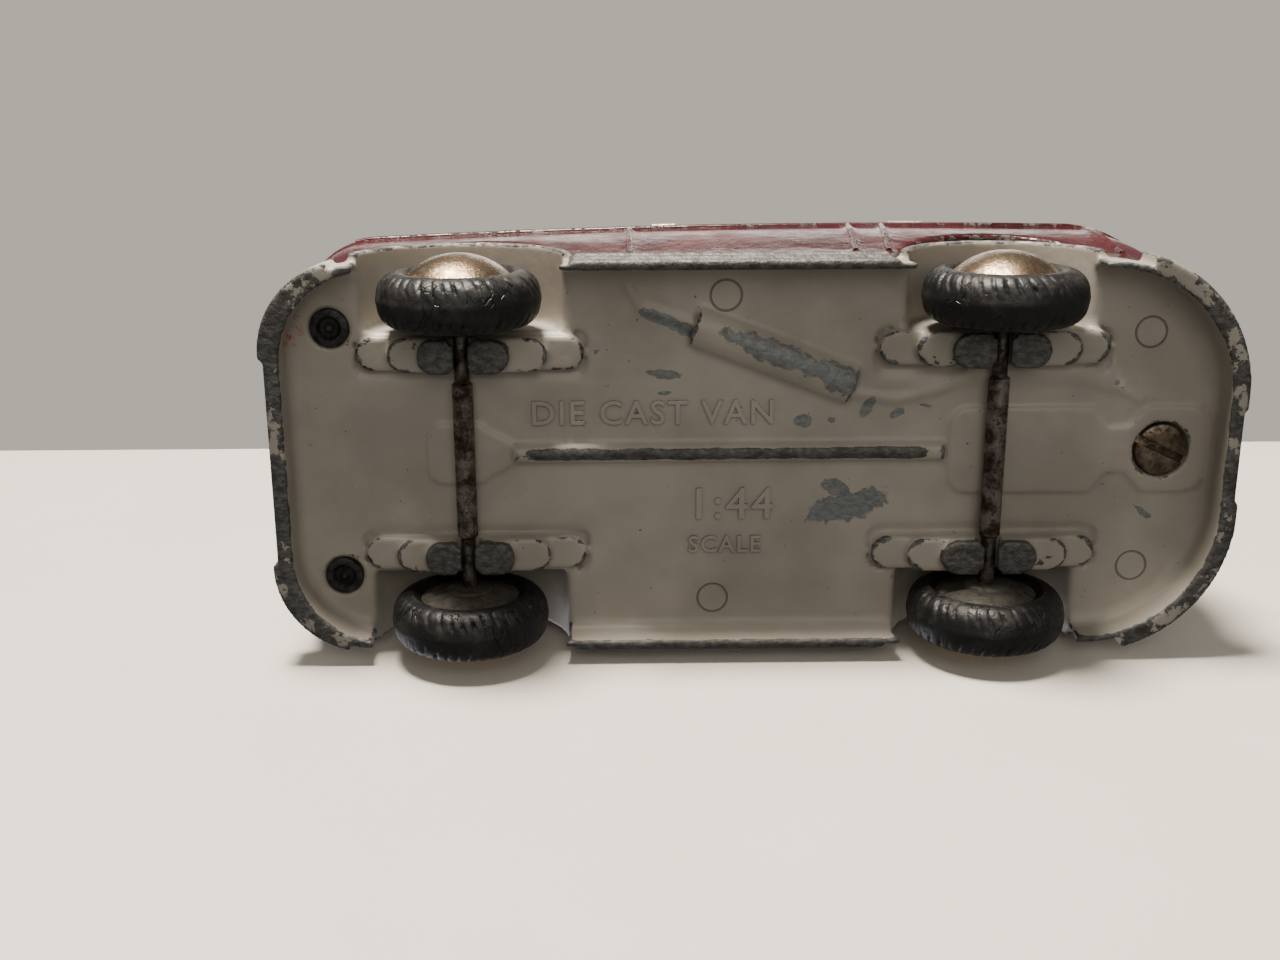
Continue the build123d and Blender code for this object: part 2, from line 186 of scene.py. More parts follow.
def markEdges(mesh, passes=3):
    # stores how far each point stands proud of its neighbours (edge) or lies in a corner (crevice)
    count = len(mesh.vertices)
    co = np.empty(count * 3)
    mesh.vertices.foreach_get("co", co)
    co = co.reshape(-1, 3)
    normal = np.empty(count * 3)
    mesh.vertex_normals.foreach_get("vector", normal)
    normal = normal.reshape(-1, 3)
    ends = np.empty(len(mesh.edges) * 2, dtype=np.int64)
    mesh.edges.foreach_get("vertices", ends)
    ends = ends.reshape(-1, 2)
    span = co[ends[:, 1]] - co[ends[:, 0]]
    length = np.maximum(np.linalg.norm(span, axis=1), 1e-9)
    total = np.zeros(count)
    links = np.zeros(count)
    for here, sign in ((0, 1), (1, -1)):
        rise = (span * normal[ends[:, here]]).sum(1) * sign / length
        np.add.at(total, ends[:, here], -rise)
        np.add.at(links, ends[:, here], 1)
    bend = total / np.maximum(links, 1)
    for _ in range(passes):
        spread = bend.copy()
        for here, there in ((0, 1), (1, 0)):
            np.add.at(spread, ends[:, here], bend[ends[:, there]])
        bend = spread / (links + 1)
    for name, values in (("edge", bend), ("crevice", -bend)):
        attribute = mesh.attributes.new(name, "FLOAT", "POINT")
        attribute.data.foreach_set("value", np.clip(values, 0, 1).astype(np.float32))


def storeValue(mesh, name, rule):
    # a value at each vertex of a mesh, for a material to read
    store = mesh.attributes.new(name, "FLOAT", "POINT")
    for vertex, item in zip(mesh.vertices, store.data):
        item.value = rule(vertex.co)


# camera, which looks up at the underside with the van's right side at the top

cameraLook = {
    "lens": 39.6,
    "sensor": 36,
    "turn": (15.655, -0.678, -0.342),       # degrees, about the view's own x right, y down and z forward
    "offsetMm": (11.640, -0.291, 134.670),  # where the van's origin is, in the same directions
}


def addCamera():
    camera = bpy.data.cameras.new("camera")
    camera.sensor_width = cameraLook["sensor"]
    camera.lens = cameraLook["lens"]
    camera.clip_start = 0.005
    seat = bpy.data.objects.new("camera", camera)
    bpy.context.scene.collection.objects.link(seat)
    turn = Vector(cameraLook["turn"]) * math.pi / 180
    toCamera = Matrix.Rotation(turn.length, 3, turn.normalized())
    offset = Vector(cameraLook["offsetMm"]) * mm
    place = toCamera.transposed() @ -offset
    axes = toCamera.transposed() @ Matrix(((1, 0, 0), (0, -1, 0), (0, 0, -1)))
    seat.matrix_world = Matrix.Translation(place) @ axes.to_4x4()
    bpy.context.scene.camera = seat


# stage: a pale ground for the standing van and a pale table for the van on its side

def oneSided(name, colour):
    # seen from its front only, so that it never stands between a camera and the van
    material, tree, shader = newMaterial(name)
    shader.inputs["Roughness"].default_value = 0.75
    point = objectPoint(tree)
    tone = ramp(tree, noiseAt(tree, point, 25), 0.2, 0.8, 0.97, 1.02)
    tree.links.new(mixColour(tree, 1.0, srgb(colour), addNode(tree, "CombineColor", Red=tone, Green=tone,
                   Blue=tone).outputs[0], "MULTIPLY"), shader.inputs["Base Color"])
    linkBump(tree, shader, noiseAt(tree, point, 6, 6.0), 0.25)
    back = addNode(tree, "NewGeometry").outputs["Backfacing"]
    clear = addNode(tree, "BsdfTransparent").outputs[0]
    mixed = addNode(tree, "MixShader", _0=back, _1=shader.outputs[0], _2=clear)
    output = [n for n in tree.nodes if n.type == "OUTPUT_MATERIAL"][0]
    tree.links.new(mixed.outputs[0], output.inputs[0])
    return material


def addBoard(name, colour, centre, normal, width, depth):
    bm = bmesh.new()
    bmesh.ops.create_grid(bm, x_segments=1, y_segments=1, size=0.5)
    bmesh.ops.scale(bm, vec=(width, depth, 1), verts=bm.verts)
    turn = Vector((0, 0, 1)).rotation_difference(Vector(normal)).to_matrix()
    bmesh.ops.rotate(bm, cent=(0, 0, 0), matrix=turn, verts=bm.verts)
    bmesh.ops.translate(bm, vec=centre, verts=bm.verts)
    mesh = meshFrom(bm, name, recalculate=False)
    mesh.materials.append(oneSided(name, colour))
    board = bpy.data.objects.new(name, mesh)
    bpy.context.scene.collection.objects.link(board)
    for ray in ("diffuse", "glossy", "transmission", "shadow"):
        setattr(board, "visible_" + ray, False)


def addLight(name, place, aim, size, watts, colour):
    light = bpy.data.lights.new(name, "AREA")
    light.shape = "DISK"
    light.size = size
    light.energy = watts
    light.color = srgb(colour)[:3]
    lamp = bpy.data.objects.new(name, light)
    bpy.context.scene.collection.objects.link(lamp)
    lamp.location = place
    lamp.rotation_euler = (Vector(aim) - Vector(place)).to_track_quat("-Z", "Y").to_euler()


stageLook = {
    "ground": "#e2ddd3",
    "table": "#ece8df",
    "backdrop": "#c4bdb2",
    "skyStrength": 0.22,        # how much the plain surroundings light the van
}


def addStage():
    sideFace = cadBox[1][1]
    addBoard("ground", stageLook["ground"], (0, 0, 0), (0, 0, 1), 3.0, 3.0)
    addBoard("table", stageLook["table"], (0, sideFace, -0.10), (0, -1, 0), 1.6, 0.394)
    world = bpy.data.worlds.new("studio")
    world.use_nodes = True
    tree = world.node_tree
    backdrop = tree.nodes["Background"]
    backdrop.inputs["Color"].default_value = srgb(stageLook["backdrop"])
    backdrop.inputs["Strength"].default_value = 1.0
    sky = addNode(tree, "Background", Color=srgb("#e9e4da"), Strength=stageLook["skyStrength"])
    seen = addNode(tree, "LightPath").outputs["Is Camera Ray"]
    mixed = addNode(tree, "MixShader", _0=seen, _1=sky.outputs[0], _2=backdrop.outputs[0])
    tree.links.new(mixed.outputs[0], tree.nodes["World Output"].inputs[0])
    bpy.context.scene.world = world
    centre = (0, 0, 0.02)
    addLight("ceilingLamp", (-0.08, -0.50, 0.02), centre, 0.14, 7.4, "#fff4e6")
    addLight("frontFill", (0.05, -0.30, -0.55), centre, 0.5, 0.9, "#fff6ea")
    addLight("topFill", (0.05, 0.0, 0.75), centre, 0.6, 2.6, "#fff8ee")
    addLight("leftFill", (-0.45, 0.5, 0.45), centre, 0.6, 1.2, "#f6f4ff")


# more shader helpers

def places(tree, point):
    # the x, y and z of a point, in millimetres
    scaled = addNode(tree, "VectorMath", {"operation": "SCALE"}, _0=point, Scale=1 / mm).outputs[0]
    return addNode(tree, "SeparateXYZ", Vector=scaled).outputs


def attribute(tree, name):
    return addNode(tree, "Attribute", {"attribute_name": name}).outputs["Fac"]


def ragged(tree, point, value, sizeMm, amount):
    # a value with its outline torn by noise
    lumps = noiseAt(tree, point, sizeMm, 6.0, 0.65)
    return math2(tree, "MULTIPLY_ADD", lumps, amount, math2(tree, "SUBTRACT", value, amount / 2))


# the base casting

baseLook = {
    "voxelMm": 0.26,            # grain of the remeshed casting, which rounds its corners as a mould does
    "triangles": 190000,
    "beadRadiusMm": 0.36,       # the two beads along each sill
    "beadLevelsMm": (6.7, 9.1),
    "beadAcrossMm": 20.05,
    "floorMm": 9.6,
    "pinRadiusMm": 1.55,
    "exhaustRadiusMm": 1.6,     # mostly sunk in the floor
    "exhaustLevelMm": 10.9,
    "enamel": "#bab4a9",
    "enamelDark": "#a49e94",
    "zincDark": "#484847",
    "zincPale": "#8f9292",
    # the colour of the painted shade in corners, around chips and in the pin rings
    "creviceShade": "#3b332a",
}
bareSpots = (                   # x, y, length, width, turn: where the enamel has come off the floor
    (9.8, 5.9, 8.6, 3.0, -14), (8.7, 3.9, 3.4, 1.7, 25), (5.1, -3.2, 1.9, 1.5, 0), (8.0, -3.3, 0.9, 0.7, 0),
    (11.6, -4.7, 2.6, 1.1, -55), (-9.0, -8.1, 4.4, 0.9, 6), (-9.0, -6.2, 1.6, 0.35, 0),
    (-9.2, -13.7, 4.8, 1.2, 22), (-6.9, -12.7, 1.8, 1.5, 30), (2.6, -10.2, 12.6, 2.3, 22),
    (8.6, -7.7, 4.4, 2.8, 22), (-15.8, -10.5, 0.8, 0.5, 0), (36.7, -7.0, 0.5, 0.5, 0),
    (40.6, 6.7, 2.3, 0.7, 40), (36.4, 3.8, 0.9, 0.4, 0), (39.0, 5.2, 0.6, 0.4, 0),
    (17.6, -4.6, 1.5, 0.6, 10), (-2.6, 11.6, 0.5, 0.4, 0), (-33.6, -4.6, 0.5, 0.4, 0),
    (14.6, -3.9, 1.6, 0.8, -30),
)

reddened = (-47.0, -13.6, 2.4, 3.6, 0)
pinPlaces = ((-2.9, -16.05), (-4.0, 15.8), (39.8, -12.1), (39.9, 12.6))  # where ejector pins left rings


def baseMaterial():
    # pale grey stoved enamel, satin and a little orange-peeled, worn through to dull grey zinc on whatever
    # stands proud; a worn place is a step down with a dark line of painted shade around it, and corners,
    # the pin rings and the letters' feet are darkened as painted shade
    material, tree, shader = newMaterial("stovedEnamelOverZinc")
    point = objectPoint(tree)
    edge = attribute(tree, "edge")
    crevice = attribute(tree, "crevice")
    rubbed = attribute(tree, "rubbed")
    chipped = attribute(tree, "chipped")

    worn = ramp(tree, ragged(tree, point, edge, 1.6, 0.30), 0.085, 0.10)
    zoneWear = ramp(tree, ragged(tree, point, rubbed, 2.4, 1.3), 0.50, 0.54)
    blobs = ragged(tree, point, chipped, 1.5, 1.5)
    spotWear = ramp(tree, blobs, 1.0, 1.07)
    flecks = ramp(tree, noiseAt(tree, point, 1.1, 4.0, 0.6), 0.735, 0.75)
    bare = worn
    for other in (zoneWear, spotWear, flecks):
        bare = math2(tree, "MAXIMUM", bare, other)

    # a dark line painted around each bare chip: painted shade at the step in the enamel
    outline = ramp(tree, math2(tree, "ABSOLUTE", math2(tree, "SUBTRACT", blobs, 0.98)), 0.10, 0.02)
    outline = math2(tree, "MULTIPLY", outline, ramp(tree, noiseAt(tree, point, 1.2, 3.0), 0.42, 0.6))
    # painted shade: corners and creases are darkened towards dark brown, broken up by noise
    creviceShadeMask = math2(tree, "MULTIPLY", ramp(tree, crevice, 0.03, 0.17),
                      ramp(tree, noiseAt(tree, point, 3.0, 5.0), 0.25, 0.75, 0.45, 1.0))
    specks = ramp(tree, noiseAt(tree, point, 0.45, 2.0, 0.5), 0.755, 0.775)
    smudge = ramp(tree, noiseAt(tree, point, 9.0, 6.0, 0.6), 0.45, 0.85, 0.0, 0.35)

    enamel = mixColour(tree, ramp(tree, noiseAt(tree, point, 14.0, 4.0), 0.3, 0.7), srgb(baseLook["enamel"]),
                       srgb(baseLook["enamelDark"]))
    enamel = mixColour(tree, smudge, enamel, srgb("#857b6c"))
    enamel = mixColour(tree, math2(tree, "MULTIPLY", specks, 0.8), enamel, srgb("#40372e"))
    red = ramp(tree, noiseAt(tree, point, 0.7, 3.0), 0.55, 0.6)
    red = math2(tree, "MULTIPLY", attribute(tree, "reddened"), red)
    enamel = mixColour(tree, red, enamel, srgb("#b8542f"))
    drawnOut = addNode(tree, "Mapping", Vector=point, Scale=(0.6, 1.0, 1.0)).outputs[0]
    scratches = ramp(tree, noiseAt(tree, drawnOut, 0.6, 7.0, 0.75), 0.36, 0.68)
    zinc = mixColour(tree, scratches, srgb(baseLook["zincDark"]), srgb(baseLook["zincPale"]))
    zinc = mixColour(tree, math2(tree, "MULTIPLY", spotWear, 0.45), zinc, srgb("#9fa6a9"))
    zinc = mixColour(tree, math2(tree, "MULTIPLY", zoneWear, 0.45), zinc,
                     srgb("#514d49"))
    colour = mixColour(tree, bare, enamel, zinc)
    paintedShade = math2(tree, "MAXIMUM", creviceShadeMask, math2(tree, "MULTIPLY", outline, 0.75))
    # the ejector pins' rings are darkened as painted shade in their grooves
    rings = 9.0
    for ringX, ringY in pinPlaces:
        local = addNode(tree, "VectorMath", {"operation": "SUBTRACT"}, _0=point,
                        _1=(ringX * mm, ringY * mm, baseLook["floorMm"] * mm)).outputs[0]
        away = addNode(tree, "VectorMath", {"operation": "LENGTH"}, _0=local).outputs["Value"]
        off = math2(tree, "ABSOLUTE", math2(tree, "SUBTRACT", away, baseLook["pinRadiusMm"] * mm))
        rings = math2(tree, "MINIMUM", rings, off)
    rings = ramp(tree, rings, 0.14 * mm, 0.04 * mm)
    paintedShade = math2(tree, "MAXIMUM", paintedShade, math2(tree, "MULTIPLY", rings, 0.7))
    colour = mixColour(tree, math2(tree, "MULTIPLY", paintedShade, 0.8), colour, srgb(baseLook["creviceShade"]))
    tree.links.new(colour, shader.inputs["Base Color"])
    tree.links.new(math2(tree, "MULTIPLY", bare, 0.55), shader.inputs["Metallic"])
    satin = ramp(tree, noiseAt(tree, point, 5.0, 4.0), 0.3, 0.7, 0.34, 0.46)
    matt = math2(tree, "MAXIMUM", bare, paintedShade)
    tree.links.new(mixValue(tree, matt, satin, 0.55), shader.inputs["Roughness"])
    peel = linkBump(tree, shader, noiseAt(tree, point, 1.8, 3.0), 0.06)
    grain = linkBump(tree, shader, math2(tree, "MULTIPLY", noiseAt(tree, point, 0.35, 4.0), bare), 0.10, peel)
    relief = math2(tree, "SUBTRACT", 1.0, math2(tree, "MAXIMUM", bare, rings))
    linkBump(tree, shader, relief, 0.12, grain)
    return material


def eased(thing, name, weightAt, rounds):
    # more smoothing where a rule gives weight
    group = thing.vertex_groups.new(name=name)
    for vertex in thing.data.vertices:
        weight = weightAt(*(vertex.co / mm))
        if weight > 0:
            group.add([vertex.index], weight, "REPLACE")
    ease = thing.modifiers.new(name, "SMOOTH")
    ease.vertex_group = name
    ease.factor = 0.5
    ease.iterations = rounds
    applied(thing)


def remeshed(thing, voxelMm, smoothing, triangles, easing=()):
    # one skin over everything in the mesh, with softened corners
    skin = thing.modifiers.new("skin", "REMESH")
    skin.mode = "VOXEL"
    skin.voxel_size = voxelMm * mm
    soften = thing.modifiers.new("soften", "SMOOTH")
    soften.factor = 0.5
    soften.iterations = smoothing
    applied(thing)
    for name, weightAt, rounds in easing:
        eased(thing, name, weightAt, rounds)
    count = 2 * len(thing.data.polygons)
    if count > triangles:
        thin = thing.modifiers.new("thin", "DECIMATE")
        thin.ratio = triangles / count
        applied(thing)
    mesh = thing.data
    bpy.data.objects.remove(thing)
    return mesh


def nodeCopy(name):
    # a welded copy of a CAD node's mesh, as a bmesh
    bm = bmesh.new()
    bm.from_mesh(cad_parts[name].data)
    bmesh.ops.remove_doubles(bm, verts=bm.verts, dist=0.001 * mm)
    return bm


def addRod(bm, start, end, radius):
    # a closed rod between two places, in millimetres
    start, end = Vector(start) * mm, Vector(end) * mm
    turn = Vector((0, 0, 1)).rotation_difference(end - start).to_matrix().to_4x4()
    place = Matrix.Translation((start + end) / 2) @ turn
    bmesh.ops.create_cone(bm, cap_ends=True, segments=24, radius1=radius * mm, radius2=radius * mm,
                          depth=(end - start).length, matrix=place)


def nearness(x, y, rows):
    # 2 in the middle of the nearest ellipse, 1 on its outline and less outside it
    best = 0.0
    for rowX, rowY, length, width, degrees in rows:
        turn = math.radians(degrees)
        dx, dy = x - rowX, y - rowY
        along = (dx * math.cos(turn) + dy * math.sin(turn)) / (length / 2)
        across = (dy * math.cos(turn) - dx * math.sin(turn)) / (width / 2)
        best = max(best, 2 - math.hypot(along, across))
    return best


def fade(value, low, high):
    return min(1.0, max(0.0, (value - low) / (high - low)))


def rubbedAt(co):
    # how much a place of the base is rubbed: its rim, the tops of the springs and the shaft's crest
    x, y, z = co / mm
    rim = fade(z, 6.2, 5.7)
    if abs(y) < 12.8 and abs(x) < 42:
        rubbed = 0.85 * fade(z, 8.6, 6.8)
    elif -18.5 < x < 13.5 and abs(y) > 18:
        rubbed = 0.85 * max(rim, fade(abs(y), 19.4, 19.8))
    elif abs(x) > 44:
        rubbed = 0.60 * rim
    else:
        rubbed = 0.54 * rim
    crest = 0.72 * fade(z, 9.1, 8.8) * fade(abs(y), 1.15, 0.65) * fade(abs(x + 2.4), 22.4, 19.5)
    return max(rubbed, crest)


axlePlaces = [sum(corner[0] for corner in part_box(end + "_axle")) / 2 / mm for end in ("front", "rear")]


def wellAt(x, y, z):
    # the floor's edges around the wheels and the hollows beside the springs, which are soft in the casting
    if not 8.8 < z < 12.0:
        return 0
    weight = 0
    for place in axlePlaces:
        away = abs(x - place)
        if 12.7 < abs(y) < 18.6 and away < 13:
            weight = max(weight, fade(abs(y), 12.7, 13.2) * fade(away, 13, 12))
        if 6.6 < abs(y) < 8.3 and away < 13 and z > 9.3:
            weight = max(weight, 0.8)
    return weight


def makeBase(material):
    bm = nodeCopy("base_plate")
    for side in (1, -1):
        across = side * baseLook["beadAcrossMm"]
        for level in baseLook["beadLevelsMm"]:
            addRod(bm, (-17.9, across, level), (13.0, across, level), baseLook["beadRadiusMm"])
    # a soft ridge in the floor for the exhaust on its way forward
    for start, end in (((21.6, -7.7), (33.0, -7.7)), ((33.0, -7.7), (37.5, -6.3))):
        level = baseLook["exhaustLevelMm"]
        addRod(bm, (*start, level), (*end, level), baseLook["exhaustRadiusMm"])
    mesh = bpy.data.meshes.new("castBase")
    bm.to_mesh(mesh)
    bm.free()
    mesh = remeshed(scratchObject(mesh), baseLook["voxelMm"], 2, baseLook["triangles"],
                    [("wells", wellAt, 45)])
    mesh.name = "castBase"
    markEdges(mesh)
    storeValue(mesh, "rubbed", rubbedAt)
    storeValue(mesh, "chipped", lambda co: nearness(co.x / mm, co.y / mm, bareSpots) if co.z < 11 * mm else 0)
    storeValue(mesh, "reddened", lambda co: min(1.0, nearness(co.x / mm, co.y / mm, (reddened,))))
    mesh.shade_smooth()
    newPiece("castBase", mesh, material, "body", ["base_plate"])


letterRows = (                  # words, height, middle x, middle y
    ("DIE CAST VAN", 2.5, -10.2, -4.1),
    ("1:44", 3.4, -2.2, 5.6),
    ("SCALE", 1.8, -2.8, 9.9),
)


def makeLettering(material):
    # plain cast lettering, which reads from below
    for words, height, x, y in letterRows:
        text = bpy.data.curves.new("lettering", "FONT")
        text.body = words
        text.size = height * 1.38 * mm
        text.align_x = "CENTER"
        text.align_y = "CENTER"
        text.space_character = 1.12
        text.extrude = 0.22 * mm
        text.bevel_depth = 0.05 * mm
        text.resolution_u = 3
        mesh = meshOf(text, "lettering")
        place = Vector((x, y, baseLook["floorMm"] - 0.08)) * mm
        mesh.transform(Matrix.Translation(place) @ Matrix.Rotation(math.pi, 4, "X"))
        shadeSmooth(mesh, 40)
        # the letters' feet, where they meet the floor, are darkened as painted shade
        storeValue(mesh, "crevice", lambda co: 0.4 * fade(co.z / mm, 9.27, 9.42))
        newPiece("lettering." + words.split()[0].replace(":", "_"), mesh, material, "body")


# the body shell

bodyLook = {
    "voxelMm": 0.36,
    "triangles": 190000,
    "red": "#4b1b21",
    "redDark": "#330c11",
    "oxidised": "#7a444a",
    "bare": "#6f6a66",
}


def bodyMaterial():
    # maroon enamel, aged: still glossy where it is whole, pinkish and dull where it has oxidised,
    # rubbed to dark metal along every ridge, with painted shade darkening its corners and creases
    material, tree, shader = newMaterial("agedMaroonEnamel")
    point = objectPoint(tree)
    edge = attribute(tree, "edge")
    crevice = attribute(tree, "crevice")
    worn = ramp(tree, ragged(tree, point, edge, 1.8, 0.30), 0.10, 0.12)
    flecks = ramp(tree, noiseAt(tree, point, 1.6, 5.0, 0.6), 0.70, 0.715)
    bare = math2(tree, "MAXIMUM", worn, flecks)
    level = places(tree, point)[2]
    lowBand = math2(tree, "MULTIPLY", ramp(tree, level, 12.2, 11.0),
                    ramp(tree, noiseAt(tree, point, 2.5, 5.0, 0.6), 0.48, 0.54))
    bare = math2(tree, "MAXIMUM", bare, lowBand)
    dull = ramp(tree, noiseAt(tree, point, 5.0, 8.0, 0.68), 0.40, 0.80)
    enamel = mixColour(tree, ramp(tree, noiseAt(tree, point, 16.0, 3.0), 0.3, 0.7), srgb(bodyLook["red"]),
                       srgb(bodyLook["redDark"]))
    enamel = mixColour(tree, math2(tree, "MULTIPLY", dull, 0.22), enamel, srgb(bodyLook["oxidised"]))
    specks = ramp(tree, noiseAt(tree, point, 0.5, 2.0), 0.72, 0.74)
    enamel = mixColour(tree, math2(tree, "MULTIPLY", specks, 0.7), enamel, srgb("#1c1210"))
    metal = mixColour(tree, noiseAt(tree, point, 0.6, 5.0), srgb("#35322f"), srgb(bodyLook["bare"]))
    colour = mixColour(tree, bare, enamel, metal)
    # painted shade: corners and creases are darkened towards near black
    paintedShade = math2(tree, "MULTIPLY", ramp(tree, crevice, 0.03, 0.18), 0.75)
    colour = mixColour(tree, paintedShade, colour, srgb("#1d1512"))
    tree.links.new(colour, shader.inputs["Base Color"])
    tree.links.new(math2(tree, "MULTIPLY", bare, 0.6), shader.inputs["Metallic"])
    gloss = mixValue(tree, dull, 0.24, 0.46)
    matt = math2(tree, "MAXIMUM", bare, paintedShade)
    tree.links.new(mixValue(tree, matt, gloss, 0.55), shader.inputs["Roughness"])
    peel = linkBump(tree, shader, noiseAt(tree, point, 2.2, 3.0), 0.10)
    drawnOut = addNode(tree, "Mapping", Vector=point, Scale=(0.12, 1.0, 1.0)).outputs[0]
    scratch = ramp(tree, noiseAt(tree, drawnOut, 0.7, 6.0), 0.62, 0.72)
    peel = linkBump(tree, shader, scratch, -0.03, peel)
    linkBump(tree, shader, math2(tree, "SUBTRACT", 1.0, bare), 0.08, peel)
    return material


def makeBody(material):
    mesh = bpy.data.meshes.new("paintedBody")
    bm = nodeCopy("body_shell")
    bm.to_mesh(mesh)
    bm.free()
    mesh = remeshed(scratchObject(mesh), bodyLook["voxelMm"], 3, bodyLook["triangles"],
                    [("crown", lambda x, y, z: fade(z, 41.5, 43.0), 150)])
    mesh.name = "paintedBody"
    markEdges(mesh)
    mesh.shade_smooth()
    newPiece("paintedBody", mesh, material, "body", ["body_shell"])
    return BVHTree.FromPolygons([v.co.copy() for v in mesh.vertices],
                                [tuple(p.vertices) for p in mesh.polygons])


def onSkin(skin, place, aim):
    # where a line from a place meets the body, in millimetres, and which way the body faces there
    spot, normal = skin.ray_cast(Vector(place) * mm, Vector(aim).normalized())[:2]
    return spot / mm, normal


def strip(name, skin, starts, aim, radiusMm, material, sink=0.35, close=False):
    # a raised half-round line that follows the body
    route = []
    for start in starts:
        spot, normal = onSkin(skin, start, aim)
        route.append((spot - normal * radiusMm * sink) * mm)
    curve = bpy.data.curves.new(name, "CURVE")
    curve.dimensions = "3D"
    curve.bevel_depth = radiusMm * mm
    curve.bevel_resolution = 3
    curve.use_fill_caps = True
    line = curve.splines.new("POLY")
    line.points.add(len(route) - 1)
    line.use_cyclic_u = close
    for point, place in zip(line.points, route):
        point.co = (*place, 1)
    mesh = meshOf(curve, name)
    storeValue(mesh, "edge", lambda co: trimLook["edgeWear"])
    mesh.shade_smooth()
    newPiece(name, mesh, material, "body")


def between(start, end, steps):
    return [Vector(start).lerp(Vector(end), i / steps) for i in range(steps + 1)]


trimLook = {
    "lineMm": 0.34,             # radii
    "ledgeMm": 0.36,
    "tailLineMm": 0.32,
    "frameMm": 0.3,
    "handleMm": 0.42,
    "barMm": 0.4,
    "wiperMm": 0.28,
    "edgeWear": 0.09,           # how far the raised lines are rubbed
    "ledges": (("belt", 24.4, 42), ("gutter", 40.3, 36)),  # level, and how far fore and aft
    "doorLines": ((-12.4, 0.0), (10.1, 1.1), (13.4, 1.4), (36.8, 0.0)),  # x at the sill, lean by the belt
    "handles": (("doorHandle", 15.8, 19.4), ("slideHandle", -9.9, -7.4)),
    "handleLevel": 25.7,
    "cabFrame": ((16.3, 26.3), (34.8, 26.3), (35.3, 27.0), (31.9, 37.9), (31.2, 38.1), (16.4, 38.1),
                 (16.3, 26.3)),
}
clearOf = 40                    # lines are laid on the body from this far outside it, at its sides
clearOfEnds = 80


def makeTrim(skin, enamel, silver):
    # raised lines in the casting, and the small silvered parts
    for side, name in ((1, "left"), (-1, "right")):
        aim = (0, -side, 0)
        outside = side * clearOf
        for line, level, reach in trimLook["ledges"]:
            path = between((-reach, outside, level), (reach, outside, level), 60)
            strip(f"{line}Line.{name}", skin, path, aim, trimLook["ledgeMm"], enamel)
        for number, (x, lean) in enumerate(trimLook["doorLines"]):
            path = between((x, outside, 11.4), (x + lean, outside, 24.4), 14)
            strip(f"doorLine{number}.{name}", skin, path, aim, trimLook["lineMm"], enamel)
        corners = trimLook["cabFrame"]
        path = []
        for (x0, z0), (x1, z1) in zip(corners, corners[1:]):
            path += between((x0, outside, z0), (x1, outside, z1), 6)[:-1]
        strip(f"windowFrame.{name}", skin, path, aim, trimLook["frameMm"], enamel, close=True)
        for handle, rear, front in trimLook["handles"]:
            level = trimLook["handleLevel"]
            path = between((rear, outside, level), (front, outside, level), 6)
            strip(f"{handle}.{name}", skin, path, aim, trimLook["handleMm"], silver, sink=-0.5)
    for number, y in enumerate((-12.6, 0.0, 12.6)):
        top = 39.0 if y else 27.6   # the middle line stops under the window
        path = between((-clearOfEnds, y, 12.0), (-clearOfEnds, y, top), 20)
        strip(f"tailLine{number}", skin, path, (1, 0, 0), trimLook["tailLineMm"], enamel)
    path = between((-clearOfEnds, 1.2, 23.0), (-clearOfEnds, 1.2, 20.4), 5)
    strip("tailHandle", skin, path, (1, 0, 0), trimLook["handleMm"], silver, sink=-0.5)
    for number in range(5):
        level = 13.4 + 1.7 * number
        path = between((clearOfEnds, -6.4, level), (clearOfEnds, 6.4, level), 20)
        strip(f"grilleBar{number}", skin, path, (-1, 0, 0), trimLook["barMm"], silver)
    for side, name in ((1, "left"), (-1, "right")):
        path = between((clearOfEnds, side * 6.5, 26.2), (clearOfEnds, side * 1.0, 26.2), 5)
        strip(f"wiper.{name}", skin, path, (-1, 0, 0), trimLook["wiperMm"], enamel)


def dressGlass():
    # clear acetate gone a little yellow, with fine scratches, and faceted lamp jewels
    material, tree, shader = newMaterial("agedAcetate")
    point = objectPoint(tree)
    haze = ramp(tree, noiseAt(tree, point, 6.0, 6.0, 0.6), 0.35, 0.75)
    tree.links.new(mixColour(tree, haze, srgb("#f3efe2"), srgb("#d9cfb2")), shader.inputs["Base Color"])
    tree.links.new(mixValue(tree, haze, 0.05, 0.22), shader.inputs["Roughness"])
    shader.inputs["Transmission Weight"].default_value = 0.96
    shader.inputs["IOR"].default_value = 1.1  # the thin sheet hardly bends what is behind it
    drawnOut = addNode(tree, "Mapping", Vector=point, Scale=(0.1, 1.0, 0.4)).outputs[0]
    scratches = noiseAt(tree, drawnOut, 0.6, 6.0)
    linkBump(tree, shader, ramp(tree, scratches, 0.62, 0.70), -0.02)
    jewel, tree, shader = newMaterial("lampJewel")
    point = objectPoint(tree)
    flutes = addNode(tree, "TexWave", {"bands_direction": "Y"}, Vector=point, Scale=1 / (10 * mm)).outputs[1]
    tree.links.new(mixColour(tree, noiseAt(tree, point, 1.5, 3.0), srgb("#e9e6dc"), srgb("#c9c2b0")),
                   shader.inputs["Base Color"])
    shader.inputs["Transmission Weight"].default_value = 0.6
    clouded = ramp(tree, noiseAt(tree, point, 1.0, 4.0), 0.3, 0.7, 0.05, 0.22)
    tree.links.new(clouded, shader.inputs["Roughness"])
    linkBump(tree, shader, flutes, 0.12)
    for name, finish in (("cab_glazing", material), ("rear_glazing", material), ("headlamp_left", jewel),
                         ("headlamp_right", jewel)):
        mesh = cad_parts[name].data
        mesh.materials.clear()
        mesh.materials.append(finish)


# wheels

tyreLook = {
    "segments": 144,
    "grooves": 40,              # cuts across each shoulder of the tread
    "grooveMm": 0.34,
    "rubber": "#17181a",
    "dust": "#5c5850",
}


